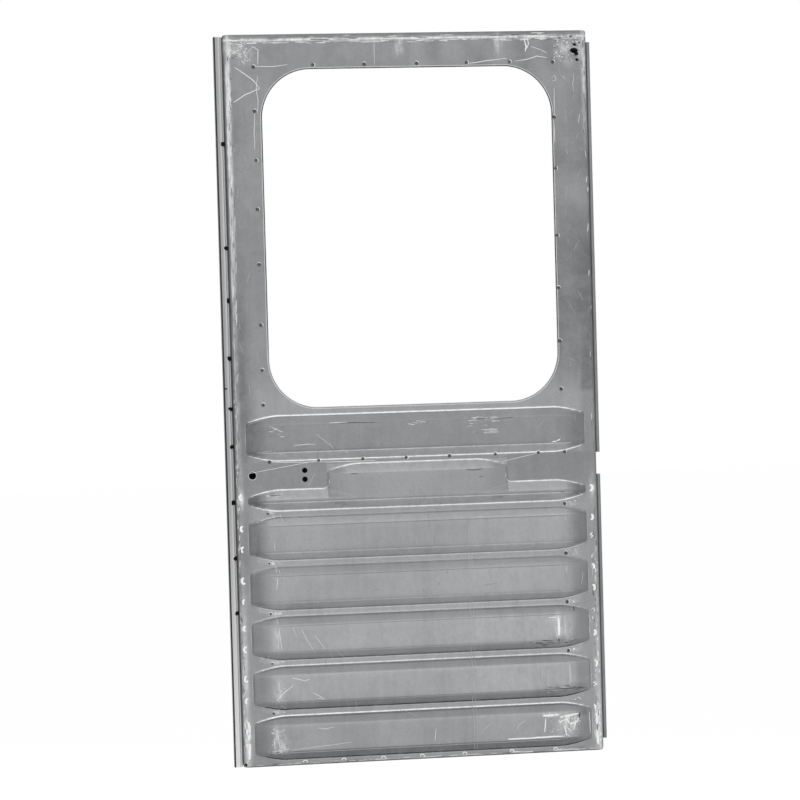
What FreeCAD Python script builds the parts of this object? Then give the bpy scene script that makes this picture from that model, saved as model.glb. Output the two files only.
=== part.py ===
import FreeCAD, Part
import Sketcher
import math
import os

# Rear door of a small delivery van: a pressed outer skin on a folded steel frame.
# Local axes of every piece: X from the skin's left edge, Y back from its front face, Z up from its bottom edge.

doc = FreeCAD.newDocument("van_rear_door")

# Driving sizes in millimetres.
table = [
    ("skin_width", 604), ("skin_height", 1200), ("skin_sheet", 0.8), ("fold_depth", 14),
    ("fold_radius", 4), ("corner_radius", 5),
    ("window_side", 61.5), ("window_top", 58), ("sill_border", 12.3), ("window_radius", 80),
    ("rib_bottom", 10.5), ("rib_base", 73), ("rib_pitch", 82.2), ("rib_slope", 14.5), ("rib_depth", 12),
    ("rib_margin", 22), ("rib_runout", 40), ("rib_root", 3), ("rib_round", 5), ("crease_round", 3),
    ("pad_length", 132), ("low_rib_base", 33.5),
    ("frame_sheet", 1), ("frame_depth", 24), ("frame_start", 5), ("bend_radius", 1.5),
    ("stile_box", 38), ("top_box", 37), ("rail_flange", 8),
    ("lock_hole_left", 28.5), ("lock_hole_up", 479.8), ("lock_hole_radius", 6),
    ("handle_left", 114.8), ("handle_up", 478.5), ("handle_spacing", 14.6), ("handle_radius", 4.5),
    ("plate_length", 90), ("plate_bottom", 457), ("plate_top", 494), ("plate_flange", 12), ("plate_depth", 18),
    ("strip_reach", 14), ("strip_setback", 6), ("strip_groove", 3.5), ("strip_step", 4),
    ("strip_lip", 22), ("strip_leg", 20), ("strip_bottom", 1), ("strip_length", 1196), ("strip_bend", 0.8),
    ("hinge_offset", 3.6), ("hinge_setback", 6), ("hook_radius", 2.1), ("hook_sheet", 1), ("hook_turn", 290),
    ("hook_leg", 20), ("hook_margin", 20), ("hook_lower_length", 442.5), ("hook_gap", 36.5),
]
book = doc.addObject("Spreadsheet::Sheet", "sizes")
for row, (alias, number) in enumerate(table, 1):
    book.set("A%d" % row, alias)
    book.set("B%d" % row, str(number))
    book.setAlias("B%d" % row, alias)
doc.recompute()


# A size knows its number, for the first drawing, and its expression, for the binding to the sheet.
class Size:
    def __init__(self, number, text):
        self.number, self.text = float(number), text

    def join(self, other, sign):
        other = other if isinstance(other, Size) else Size(other, repr(float(other)))
        a, b = self.number, other.number
        number = {"+": a + b, "-": a - b, "*": a * b, "/": a / b if b else 0.0}[sign]
        return Size(number, "(%s %s %s)" % (self.text, sign, other.text))

    def __add__(self, other):
        return self.join(other, "+")

    def __sub__(self, other):
        return self.join(other, "-")

    def __mul__(self, other):
        return self.join(other, "*")

    def __truediv__(self, other):
        return self.join(other, "/")

    def __neg__(self):
        return Size(-self.number, "(-1 * %s)" % self.text)

    def root(self):
        return Size(math.sqrt(self.number), "sqrt(%s)" % self.text)


class Sizes:
    pass


d = Sizes()
for alias, number in table:
    setattr(d, alias, Size(number, "sizes." + alias))
zero = Size(0, "0")


# One step of an outline: a straight run, or an arc of a given radius and centre, to the point (x, y).
def to(x, y, radius=None, centre=None, turn=0):
    return {"x": x, "y": y, "radius": radius, "centre": centre, "turn": turn}


def pin(sketch, index, end, x, y):
    for kind, axis, size in (("DistanceX", -2, x), ("DistanceY", -1, y)):
        if size.text == "0":
            sketch.addConstraint(Sketcher.Constraint("PointOnObject", index, end, axis))
        else:
            number = sketch.addConstraint(Sketcher.Constraint(kind, index, end, size.number))
            sketch.setExpression("Constraints[%d]" % number, size.text)


# Draws a closed outline. Every corner is tied to the sheet, and every arc has its radius from it.
def outline(sketch, steps):
    ends = []
    for index, step in enumerate(steps):
        last = steps[index - 1]
        a = FreeCAD.Vector(last["x"].number, last["y"].number, 0)
        b = FreeCAD.Vector(step["x"].number, step["y"].number, 0)
        if step["radius"] is None:
            line = sketch.addGeometry(Part.LineSegment(a, b), False)
            ends.append((line, 1, 2))
            continue
        c = FreeCAD.Vector(step["centre"][0].number, step["centre"][1].number, 0)
        first, second = math.atan2(a.y - c.y, a.x - c.x), math.atan2(b.y - c.y, b.x - c.x)
        if step["turn"] < 0:
            first, second = second, first
        if second < first:
            second += 2 * math.pi
        circle = Part.Circle(c, FreeCAD.Vector(0, 0, 1), step["radius"].number)
        arc = sketch.addGeometry(Part.ArcOfCircle(circle, first, second), False)
        ends.append((arc, 1, 2) if step["turn"] > 0 else (arc, 2, 1))
    for index, step in enumerate(steps):
        item, start, end = ends[index]
        after = ends[(index + 1) % len(ends)]
        sketch.addConstraint(Sketcher.Constraint("Coincident", item, end, after[0], after[1]))
        pin(sketch, item, end, step["x"], step["y"])
        if step["radius"] is not None:
            number = sketch.addConstraint(Sketcher.Constraint("Radius", item, step["radius"].number))
            sketch.setExpression("Constraints[%d]" % number, step["radius"].text)


def hole(sketch, x, y, radius):
    centre = FreeCAD.Vector(x.number, y.number, 0)
    index = sketch.addGeometry(Part.Circle(centre, FreeCAD.Vector(0, 0, 1), radius.number), False)
    pin(sketch, index, 3, x, y)
    number = sketch.addConstraint(Sketcher.Constraint("Radius", index, radius.number))
    sketch.setExpression("Constraints[%d]" % number, radius.text)


# A sketch on one of the body's own planes, lifted off it by a size.
def sketch_on(body, role, name, lift=zero):
    sketch = body.newObject("Sketcher::SketchObject", name)
    plane = [item for item in body.Origin.OriginFeatures if item.Role == role][0]
    sketch.AttachmentSupport = [(plane, "")]
    sketch.MapMode = "FlatFace"
    if lift.text != "0":
        sketch.setExpression("AttachmentOffset.Base.z", lift.text)
    return sketch


def pad(body, sketch, length, backwards=False):
    feature = body.newObject("PartDesign::Pad", sketch.Name + "_pad")
    feature.Profile = sketch
    feature.Length = length.number
    feature.setExpression("Length", length.text)
    feature.Reversed = backwards
    doc.recompute()
    return feature


def body_from(label, role, steps, length, lift=zero, holes=()):
    body = doc.addObject("PartDesign::Body", label)
    sketch = sketch_on(body, role, label + "_outline", lift)
    outline(sketch, steps)
    for x, y, radius in holes:
        hole(sketch, x, y, radius)
    pad(body, sketch, length, role == "XZ_Plane")
    return body


def box_steps(x0, x1, y0, y1):
    return [to(x0, y0), to(x1, y0), to(x1, y1), to(x0, y1)]


# Cuts rectangles out of a body, seen from the front.
def trim(body, name, x0, x1, z0, z1):
    before = body.Shape.Volume
    sketch = sketch_on(body, "XZ_Plane", name)
    outline(sketch, box_steps(x0, x1, z0, z1))
    cut = body.newObject("PartDesign::Pocket", name + "_cut")
    cut.Profile = sketch
    cut.Type = "Length"
    cut.setExpression("Length", "sizes.fold_depth")
    doc.recompute()
    if body.Shape.Volume > before - 1:
        cut.Reversed = True
        doc.recompute()


def round_edges(body, radius, pick):
    tip = body.Tip
    names = ["Edge%d" % (i + 1) for i, edge in enumerate(tip.Shape.Edges) if pick(edge)]
    feature = body.newObject("PartDesign::Fillet", body.Name + "_round")
    feature.Base = (tip, names)
    feature.Radius = radius.number
    feature.setExpression("Radius", radius.text)
    doc.recompute()
    return feature


def near(a, b):
    return abs(a - b) < 1e-4


# Picks the straight edges that run along one axis through one of the corners of the outline.
def along(axis, corners):
    others = [item for item in "xyz" if item != axis]

    def pick(edge):
        if len(edge.Vertexes) != 2:
            return False
        a, b = (vertex.Point for vertex in edge.Vertexes)
        if not all(near(getattr(a, item), getattr(b, item)) for item in others):
            return False
        return any(near(getattr(a, others[0]), p.number) and near(getattr(a, others[1]), q.number)
                   for p, q in corners)
    return pick


# Folds of a sheet: the hollow side of each bend has the bend radius, the outer side one sheet more.
def bends(body, axis, hollow, outer, sheet, radius):
    round_edges(body, radius, along(axis, hollow))
    round_edges(body, radius + sheet, along(axis, outer))


def place(item):
    item.setExpression("Placement.Base.x", "-(sizes.skin_width + sizes.hinge_offset)")
    item.setExpression("Placement.Base.y", "-sizes.hinge_setback")
    item.setExpression("Placement.Base.z", "-(sizes.hook_margin + sizes.hook_lower_length / 2)")


pieces = []


def keep(item, label):
    item.Label = label
    place(item)
    pieces.append(item)


def combine(kind, name, base, tool):
    item = doc.addObject(kind, name)
    item.Base, item.Tool = base, tool
    return item


def fuse(name, items):
    item = doc.addObject("Part::MultiFuse", name)
    item.Shapes = items
    return item


w, h, t, f = d.skin_width, d.skin_height, d.skin_sheet, d.frame_sheet

# The ribs. In plan a rib is flat, and runs out at both ends in an arc that touches the flat and meets the border.
# Its flanks are that plan, carried down at one slope, so the foot of a rib draws in as it runs out.
# The hollow behind it is the same form, one sheet thickness inside.
rib_radius = (d.rib_runout * d.rib_runout + d.rib_depth * d.rib_depth) / (d.rib_depth * 2)
flank = d.rib_depth / d.rib_slope
flank_shift = t * ((flank * flank + 1).root() - 1) / flank


# Both forms run on behind the front face, where they are lost in the tray or cut away behind it.
def rib_plan(inset, left, right):
    sheet = t if inset else zero
    radius = rib_radius - sheet
    start, stop = left + d.rib_runout, right - d.rib_runout
    front, rear = sheet - d.rib_depth, sheet + d.rib_root
    reach = ((d.rib_depth + d.rib_root) * (rib_radius * 2 - sheet * 2 - d.rib_depth - d.rib_root)).root()
    centre = rib_radius - d.rib_depth
    return [to(start - reach, rear), to(start, front, radius, (start, centre), 1), to(stop, front),
            to(stop + reach, rear, radius, (stop, centre), 1)]


def rib_row(number):
    bottom = d.rib_bottom + d.rib_pitch * number
    return bottom, bottom + d.rib_base


first_row, pad_row, last_row = rib_row(0), rib_row(5), rib_row(6)


# One rib: the flat, and a flank below and above it, with a round where each flank meets the flat and the run-outs.
def rib(name, inset, left, right, row):
    shift = flank_shift if inset else zero
    low, high = row[0] + shift + d.rib_slope, row[1] - shift - d.rib_slope
    steps = rib_plan(inset, left, right)
    body = body_from(name, "XY_Plane", steps, high - low, low)
    for side, level, way in (("low", low, -1), ("high", high, 1)):
        sketch = sketch_on(body, "XY_Plane", "%s_%s" % (name, side), level)
        outline(sketch, steps)
        feature = pad(body, sketch, (d.rib_depth + d.rib_root) / flank)
        feature.UseCustomVector = True
        feature.Direction = FreeCAD.Vector(0, flank.number, way)
        feature.setExpression("Direction.y", flank.text)
        doc.recompute()
    edges = [low.number, high.number]

    def pick(edge):
        box = edge.BoundBox
        return near(box.ZMin, box.ZMax) and any(near(box.ZMin, edge_level) for edge_level in edges) and box.XLength > 1
    round_edges(body, d.rib_round - t if inset else d.rib_round, pick)
    return body


# All the ribs. The one beside the lock is short, so that a flat pad is left at each end, and has a low rib under it.
def ribs(name, inset):
    left, right = d.rib_margin, w - d.rib_margin
    rows = [rib_row(number) for number in range(5)] + [last_row, (pad_row[0], pad_row[0] + d.low_rib_base)]
    made = [rib("%s_%d" % (name, index), inset, left, right, row) for index, row in enumerate(rows)]
    made.append(rib(name + "_short", inset, left + d.pad_length, right - d.pad_length, pad_row))
    return made


# The blank of the skin: a tray with rounded corners and rounded folds, drawn once for its outside and once inside.
def tray(name, inset):
    gap = t if inset else zero
    steps = box_steps(gap, w - gap, gap, h - gap)
    body = body_from(name, "XZ_Plane", steps, d.fold_depth, -t if inset else zero)
    corner, fold = (d.corner_radius - t, d.fold_radius - t) if inset else (d.corner_radius, d.fold_radius)
    round_edges(body, corner, lambda edge: len(edge.Vertexes) == 2
                and near(edge.Vertexes[0].X, edge.Vertexes[1].X) and near(edge.Vertexes[0].Z, edge.Vertexes[1].Z))
    round_edges(body, fold, lambda edge: all(near(vertex.Y, gap.number) for vertex in edge.Vertexes))
    return body


def cutter(name, radius, x, z):
    item = doc.addObject("Part::Cylinder", name)
    item.Placement = FreeCAD.Placement(FreeCAD.Vector(0, 0, 0), FreeCAD.Rotation(FreeCAD.Vector(1, 0, 0), -90))
    item.setExpression("Radius", radius.text)
    item.setExpression("Height", "sizes.fold_depth")
    item.setExpression("Placement.Base.x", x.text)
    item.setExpression("Placement.Base.y", "-sizes.fold_depth / 2")
    item.setExpression("Placement.Base.z", z.text)
    return item


left, right = d.window_side, w - d.window_side
top, sill, bow = h - d.window_top, last_row[1] + d.sill_border, d.window_radius
window_steps = [
    to(left, sill + bow), to(left + bow, sill, bow, (left + bow, sill + bow), 1), to(right - bow, sill),
    to(right, sill + bow, bow, (right - bow, sill + bow), 1), to(right, top - bow),
    to(right - bow, top, bow, (right - bow, top - bow), 1), to(left + bow, top),
    to(left, top - bow, bow, (left + bow, top - bow), 1)]
window = body_from("window_cut", "XZ_Plane", window_steps, d.fold_depth, d.fold_depth / 2)
holes = [cutter("lock_hole", d.lock_hole_radius, d.lock_hole_left, d.lock_hole_up),
         cutter("handle_hole_low", d.handle_radius, d.handle_left, d.handle_up - d.handle_spacing / 2),
         cutter("handle_hole_high", d.handle_radius, d.handle_left, d.handle_up + d.handle_spacing / 2)]


# One side of the pressed sheet: the tray with its ribs, and a round all along the foot of each rib.
def side_of_sheet(name, inset):
    form = fuse(name + "_form", [tray(name + "_tray", inset)] + ribs(name + "_rib", inset))
    form.Refine = True
    doc.recompute()
    body = doc.addObject("PartDesign::Body", name)
    body.BaseFeature = form
    doc.recompute()
    level = t.number if inset else 0

    def pick(edge):
        box = edge.BoundBox
        return (near(box.YMin, level) and near(box.YMax, level) and box.XMin > d.rib_margin.number / 2
                and box.XMax < w.number - d.rib_margin.number / 2 and box.ZMin > d.fold_radius.number + 1)
    round_edges(body, d.crease_round + t if inset else d.crease_round, pick)
    return body


behind = doc.addObject("Part::Box", "behind_skin")
for name, size in (("Length", w), ("Width", d.rib_depth * 2), ("Height", h), ("Placement.Base.y", d.fold_depth)):
    behind.setExpression(name, size.text)
openings = fuse("skin_openings", [side_of_sheet("skin_back", True), behind, window] + holes)
keep(combine("Part::Cut", "outer_skin", side_of_sheet("skin_front", False), openings), "outer_skin")

# The frame. Stiles and the top and bottom rails share one folded section, given by its distance from the skin's edge.
start, depth = d.frame_start, d.frame_depth


def box_section(box, edge):
    return [(t, start), (t, depth), (box, depth), (box, t + f), (edge, t + f), (edge, t), (box - f, t),
            (box - f, depth - f), (t + f, depth - f), (t + f, start)]


def box_member(label, box, edge, role, shift, length, lift, axis):
    points = box_section(box, edge)
    flat = [(shift(a), b) if axis == "z" else (b, shift(a)) for a, b in points]
    body = body_from(label, role, [to(a, b) for a, b in flat], length, lift)
    hollow_bends = [flat[3], flat[7], flat[8]]
    outer_bends = [flat[1], flat[2], flat[6]]
    bends(body, axis, hollow_bends, outer_bends, f, d.bend_radius)
    return body


def same(size):
    return size


def mirrored(size):
    return w - size


def from_top(size):
    return h - size


corner_end = top - bow
corner_foot = sill + bow
rail_top = first_row[1]
rail_edge = rail_top + d.rail_flange
waist_low, waist_high = last_row[0], last_row[1]
waist_edge = waist_low - d.rail_flange

for label, shift in (("lock_stile", same), ("hinge_stile", mirrored)):
    body = box_member(label, d.stile_box, left, "XY_Plane", shift, h - d.corner_radius * 2, d.corner_radius, "z")
    a, b = shift(d.stile_box), shift(left + 1)
    trim(body, label + "_foot", a, b, zero, rail_edge)
    trim(body, label + "_waist", a, b, waist_edge, corner_foot)
    trim(body, label + "_head", a, b, corner_end, h)
    keep(body, label)

rail_length = w - d.stile_box * 2
for label, box, edge, shift in (("top_rail", d.top_box, d.window_top, from_top),
                                ("bottom_rail", rail_top, rail_edge, same)):
    body = box_member(label, box, edge, "YZ_Plane", shift, rail_length, d.stile_box, "x")
    if label == "top_rail":
        for side, flip in (("left", same), ("right", mirrored)):
            trim(body, label + "_" + side, flip(d.stile_box - 1), flip(left + bow), top - 1, h - d.top_box)
    keep(body, label)

waist = [(t, waist_edge), (t + f, waist_edge), (t + f, waist_low), (depth, waist_low), (depth, waist_high),
         (t + f, waist_high), (t + f, sill), (t, sill), (t, waist_high - f), (depth - f, waist_high - f),
         (depth - f, waist_low + f), (t, waist_low + f)]
body = body_from("waist_rail", "YZ_Plane", [to(a, b) for a, b in waist], rail_length, d.stile_box)
bends(body, "x", [waist[2], waist[5], waist[9], waist[10]], [waist[3], waist[4], waist[8], waist[11]], f,
      d.bend_radius)
for side, flip in (("left", same), ("right", mirrored)):
    trim(body, "waist_rail_" + side, flip(d.stile_box - 1), flip(left + bow), waist_high, sill + 1)
keep(body, "waist_rail")

# Flat plates that close the frame round the corners of the window.
for side, flip in (("left", same), ("right", mirrored)):
    turn = -1 if side == "left" else 1
    box, near_edge, far = flip(d.stile_box), flip(left), flip(left + bow)
    upper = [to(box, corner_end), to(near_edge, corner_end), to(far, top, bow, (far, corner_end), turn),
             to(far, h - d.top_box), to(box, h - d.top_box)]
    lower = [to(box, corner_foot), to(near_edge, corner_foot), to(far, sill, bow, (far, corner_foot), -turn),
             to(far, waist_high), to(box, waist_high)]
    for level, steps in (("top", upper), ("bottom", lower)):
        label = "window_corner_%s_%s" % (level, side)
        keep(body_from(label, "XZ_Plane", steps, f, -t), label)

# The plate behind the flat pad: a folded hat that stands clear of the handle holes.
foot, crown = t + f, d.plate_depth
inner_left, inner_right = left + d.plate_flange, left + d.plate_length - d.plate_flange
hat = [(left, t), (inner_left, t), (inner_left, crown - f), (inner_right, crown - f), (inner_right, t),
       (left + d.plate_length, t), (left + d.plate_length, foot), (inner_right + f, foot), (inner_right + f, crown),
       (inner_left - f, crown), (inner_left - f, foot), (left, foot)]
body = body_from("lock_plate", "XY_Plane", [to(a, b) for a, b in hat], d.plate_top - d.plate_bottom, d.plate_bottom)
bends(body, "z", [hat[2], hat[3], hat[7], hat[10]], [hat[1], hat[4], hat[8], hat[9]], f, d.bend_radius)
keep(body, "lock_plate")

# The closing strip: a lip, a flat face set back from the skin, a groove beside the skin, and a leg on its fold.
reach, back, groove = -d.strip_reach, d.strip_setback, -d.strip_groove
floor = back + d.strip_step
strip = [(reach, d.strip_lip), (reach, back), (groove, back), (groove, floor), (zero, floor), (zero, d.strip_leg),
         (-f, d.strip_leg), (-f, floor + f), (groove - f, floor + f), (groove - f, back + f), (reach + f, back + f),
         (reach + f, d.strip_lip)]
body = body_from("closing_strip", "XY_Plane", [to(a, b) for a, b in strip], d.strip_length, d.strip_bottom)
bends(body, "z", [strip[3], strip[7], strip[9], strip[10]], [strip[1], strip[2], strip[4], strip[8]], f, d.strip_bend)
keep(body, "closing_strip")

# The hinge hooks: a leg on the skin's fold and a rolled eye, both on one axis.
eye_x, eye_y = w + d.hinge_offset, d.hinge_setback
inner, outer = d.hook_radius, d.hook_radius + d.hook_sheet
angle = "(90 - sizes.hook_turn)"
turned = math.radians(90 - d.hook_turn.number)
along_x = Size(math.cos(turned), "cos(%s)" % angle)
along_y = Size(math.sin(turned), "sin(%s)" % angle)
hook = [to(w, d.hook_leg), to(w, eye_y + inner), to(eye_x, eye_y + inner),
        to(eye_x + along_x * inner, eye_y + along_y * inner, inner, (eye_x, eye_y), -1),
        to(eye_x + along_x * outer, eye_y + along_y * outer),
        to(eye_x, eye_y + outer, outer, (eye_x, eye_y), 1),
        to(w + d.hook_sheet, eye_y + outer), to(w + d.hook_sheet, d.hook_leg)]
upper_start = d.hook_margin + d.hook_lower_length + d.hook_gap
for label, low, length in (("hinge_hook_upper", upper_start, h - d.hook_margin - upper_start),
                           ("hinge_hook_lower", d.hook_margin, d.hook_lower_length)):
    keep(body_from(label, "XY_Plane", hook, length, low), label)

doc.recompute()
os.makedirs("parts", exist_ok=True)
for item in doc.Objects:
    if "Invalid" in item.State or "Error" in item.State:
        raise RuntimeError("not built: " + item.Label + " " + str(item.State))
for item in pieces:
    shape = item.Shape
    if shape.isNull() or not shape.isValid() or len(shape.Solids) != 1:
        raise RuntimeError("bad shape: %s, %d solids" % (item.Label, len(shape.Solids)))
    shape.exportStep("parts/%s.step" % item.Label)
    print(item.Label, len(shape.Faces), "faces", round(shape.Volume), "mm3")
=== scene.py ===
import math
import random

import bmesh
import bpy
from mathutils import Matrix, Vector, noise
from mathutils.bvhtree import BVHTree


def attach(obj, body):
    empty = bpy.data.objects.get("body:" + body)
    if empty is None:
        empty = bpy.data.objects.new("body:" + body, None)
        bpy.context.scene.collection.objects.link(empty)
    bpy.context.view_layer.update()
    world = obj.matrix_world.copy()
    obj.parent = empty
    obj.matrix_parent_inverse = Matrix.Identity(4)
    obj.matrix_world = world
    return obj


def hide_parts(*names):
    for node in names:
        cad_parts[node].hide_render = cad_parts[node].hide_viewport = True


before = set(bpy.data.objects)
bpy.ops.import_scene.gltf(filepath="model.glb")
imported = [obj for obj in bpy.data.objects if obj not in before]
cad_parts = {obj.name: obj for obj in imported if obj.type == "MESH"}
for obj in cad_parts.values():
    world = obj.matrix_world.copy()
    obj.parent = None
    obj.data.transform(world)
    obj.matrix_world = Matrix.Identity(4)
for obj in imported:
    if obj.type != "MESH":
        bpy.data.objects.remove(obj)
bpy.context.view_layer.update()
rng = random.Random(11)

# Millimetres on the door: u from the skin's left edge, w back from its front face, v up from its bottom edge.
door = {"width": 604.0, "height": 1200.0, "left": -607.6, "front": -6.0, "bottom": -241.25, "sheet": 0.8}


def place(u, w, v):
    return Vector((door["left"] + u, door["front"] + w, door["bottom"] + v)) / 1000


def softMin(a, b, k):
    gap = max(k - abs(a - b), 0.0)
    return min(a, b) - gap * gap / (4 * k)


def softMax(a, b, k):
    return -softMin(-a, -b, k)


def bell(x, centre, width):
    return math.exp(-((x - centre) / width) ** 2)


def addObject(name, bm, finish):
    mesh = bpy.data.meshes.new(name)
    bm.to_mesh(mesh)
    bm.free()
    piece = bpy.data.objects.new(name, mesh)
    bpy.context.scene.collection.objects.link(piece)
    if finish:
        mesh.materials.append(finish)
    return piece


def shadeSmooth(mesh, angle):
    for polygon in mesh.polygons:
        polygon.use_smooth = True
    mesh.set_sharp_from_angle(angle=math.radians(angle))


# steel finishes: patches, rolling streaks and specks, and the marks that a piece carries as attributes


def addNode(tree, kind, **values):
    node = tree.nodes.new(kind)
    for key, value in values.items():
        setattr(node, key, value)
    return node


def steelFinish(name, look):
    material = bpy.data.materials.new(name)
    material.use_nodes = True
    tree = material.node_tree
    shader = tree.nodes["Principled BSDF"]
    link = tree.links.new
    coords = addNode(tree, "ShaderNodeTexCoord").outputs["Object"]

    def cloud(scale, detail, stretch, rough=0.55):
        turn = addNode(tree, "ShaderNodeMapping")
        turn.inputs["Scale"].default_value = stretch
        link(coords, turn.inputs["Vector"])
        tex = addNode(tree, "ShaderNodeTexNoise")
        tex.inputs["Scale"].default_value = scale
        tex.inputs["Detail"].default_value = detail
        tex.inputs["Roughness"].default_value = rough
        link(turn.outputs[0], tex.inputs["Vector"])
        return tex.outputs["Fac"]

    def ramp(source, low, high, lowValue=0.0, highValue=1.0):
        node = addNode(tree, "ShaderNodeMapRange")
        link(source, node.inputs["Value"])
        for key, value in (("From Min", low), ("From Max", high), ("To Min", lowValue), ("To Max", highValue)):
            node.inputs[key].default_value = value
        return node.outputs[0]

    def blend(factor, first, second):
        node = addNode(tree, "ShaderNodeMix", data_type="RGBA")
        link(factor, node.inputs["Factor"])
        for key, value in (("A", first), ("B", second)):
            socket = [item for item in node.inputs if item.name == key and item.type == "RGBA"][0]
            if isinstance(value, tuple):
                socket.default_value = value
            else:
                link(value, socket)
        return [item for item in node.outputs if item.type == "RGBA"][0]

    def sums(operation, first, second):
        node = addNode(tree, "ShaderNodeMath", operation=operation, use_clamp=True)
        for socket, value in zip(node.inputs, (first, second)):
            if isinstance(value, float):
                socket.default_value = value
            else:
                link(value, socket)
        return node.outputs[0]

    def grey(value, tint=(1.0, 1.0, 1.0)):
        return (value * tint[0], value * tint[1], value * tint[2], 1.0)

    def axes():
        split = addNode(tree, "ShaderNodeSeparateXYZ")
        link(coords, split.inputs[0])
        return split.outputs

    tint = look["tint"]
    patches = ramp(cloud(look["patchScale"], 6, (1, 1, 1), 0.62), 0.33, 0.67)
    streaks = ramp(cloud(look["streakScale"], 5, look["streakStretch"], 0.7), 0.35, 0.7)
    speck = ramp(cloud(look["speckScale"], 3, (1, 1, 1)), 0.5, 0.75)
    colour = blend(patches, grey(look["dark"], tint), grey(look["light"], tint))
    colour = blend(sums("MULTIPLY", streaks, look["streakShare"]), colour, grey(look["light"] * 1.12, tint))
    colour = blend(sums("MULTIPLY", speck, look["speckShare"]), colour, grey(look["dark"] * 0.6, tint))
    for mark, tone, grain, keep, stretch in look["marks"]:
        paint = addNode(tree, "ShaderNodeAttribute", attribute_name=mark)
        broken = ramp(cloud(grain, 5, (1, 1, stretch), 0.7), 0.36, 0.6, keep, 1.0)
        colour = blend(sums("MULTIPLY", paint.outputs["Fac"], broken), colour, grey(tone))
    for axis, start, stop, tone, share in look.get("wash", []):  # paler along an axis, from start to stop
        colour = blend(ramp(axes()[axis], start, stop, 0.0, share), colour, grey(tone))
    if "edge" in look:  # painted shade beyond a line across the piece, and fading from one depth to another
        across, front, back = look["edge"]
        spot = axes()
        beyond = sums("LESS_THAN", spot[0], across)
        soiled = sums("MULTIPLY", beyond, ramp(spot[1], front, back, 1.0, 0.0))
        colour = blend(soiled, colour, grey(look["black"]))
    if "inside" in look:  # painted shade behind a hole: within a distance of a point, and in front of a depth
        centre, reach, depth = look["inside"]
        away = addNode(tree, "ShaderNodeVectorMath", operation="DISTANCE")
        link(coords, away.inputs[0])
        away.inputs[1].default_value = centre
        close = sums("LESS_THAN", away.outputs["Value"], reach)
        hidden = sums("MULTIPLY", close, sums("LESS_THAN", axes()[1], depth))
        colour = blend(hidden, colour, grey(look["black"]))
    link(colour, shader.inputs["Base Color"])
    link(ramp(patches, 0, 1, look["roughness"] - 0.04, look["roughness"] + 0.06), shader.inputs["Roughness"])
    shader.inputs["Metallic"].default_value = look["metallic"]
    shader.inputs["Specular IOR Level"].default_value = look["sheen"]
    bump = addNode(tree, "ShaderNodeBump")
    bump.inputs["Strength"].default_value = look["bump"]
    bump.inputs["Distance"].default_value = 0.001
    link(streaks, bump.inputs["Height"])
    link(bump.outputs[0], shader.inputs["Normal"])
    return material


plain = {
    "tint": (0.96, 0.985, 1.01), "dark": 0.25, "light": 0.34, "black": 0.006, "patchScale": 11, "streakScale": 24,
    "streakStretch": (3.0, 1, 0.3), "streakShare": 0.35, "speckScale": 420, "speckShare": 0.3, "roughness": 0.5,
    "metallic": 0.25, "sheen": 0.5, "bump": 0.05, "marks": [],
}
skinMarks = [  # attribute, tone, grain, least share, stretch
    # the dark mark holds real dirt and painted shade, the first bright one real rubbing and painted highlights
    ("dirtAndShade", 0.03, 60, 0.75, 1.0), ("rubAndHighlight", 0.86, 110, 0.6, 0.6), ("scuff", 0.88, 170, 0.0, 0.35),
]
skinLook = dict(plain, marks=skinMarks)
frameLook = dict(plain, dark=0.24, light=0.31)
hollowLook = dict(frameLook, black=0.004)
# painted shade in the hollow behind the lock holes
lockLook = dict(hollowLook, inside=(place(29, 22, 480), 0.011, 0.0175))
plateLook = dict(hollowLook, inside=(place(116, 17, 478.5), 0.021, 0.0114))
stripLook = dict(plain, dark=0.25, light=0.33, streakStretch=(4.0, 1, 0.15))
# painted shade on the strip's outer side, which faces away from the light
stripLook["edge"] = (place(-11.6, 0, 0).x, place(0, 9, 0).y, place(0, 15, 0).y)
stripLook["wash"] = [  # axis, start, stop, tone, share
    # paler towards the bottom
    (2, place(0, 0, 470).z, place(0, 0, 0).z, 0.9, 0.7),
    # painted light near the groove, lifting the shade of the skin's fold
    (0, place(-8.5, 0, 0).x, place(-5, 0, 0).x, 0.8, 0.45),
]
hookLook = dict(plain, dark=0.17, light=0.26, streakStretch=(4.0, 1, 0.15))
brightLook = dict(plain, dark=0.4, light=0.5, metallic=0.15, marks=[("rubAndHighlight", 0.97, 150, 0.85, 1.0)])
weldLook = dict(plain, dark=0.025, light=0.07, metallic=0.2, patchScale=60)
burnAndShadeLook = dict(plain, dark=0.003, light=0.012, metallic=0.0, roughness=0.7, patchScale=60, sheen=0.05)
skinSteel = steelFinish("bareSkinSteel", skinLook)
frameSteel = steelFinish("bareFrameSteel", frameLook)
nodeFinishes = {
    "closing_strip": steelFinish("paleStripSteel", stripLook),
    "lock_stile": steelFinish("lockStileSteel", lockLook),
    "lock_plate": steelFinish("lockPlateSteel", plateLook),
}
nodeFinishes["hinge_hook_upper"] = nodeFinishes["hinge_hook_lower"] = steelFinish("dullHookSteel", hookLook)
# bright ridges: real scratches and marks, and painted highlights round the welds, the lock hole and the window's
# edge
brightSteel = steelFinish("scratchAndHighlightSteel", brightLook)
weldSteel = steelFinish("weldedSteel", weldLook)
burnAndShadeSteel = steelFinish("burnAndShadeSteel", burnAndShadeLook)
for nodeName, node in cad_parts.items():
    node.data.materials.clear()
    node.data.materials.append(nodeFinishes.get(nodeName, frameSteel))
print("finishes done")

# the pressed skin: a grid that is drawn out into the ribs, folded at its edges and cut for the window

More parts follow.
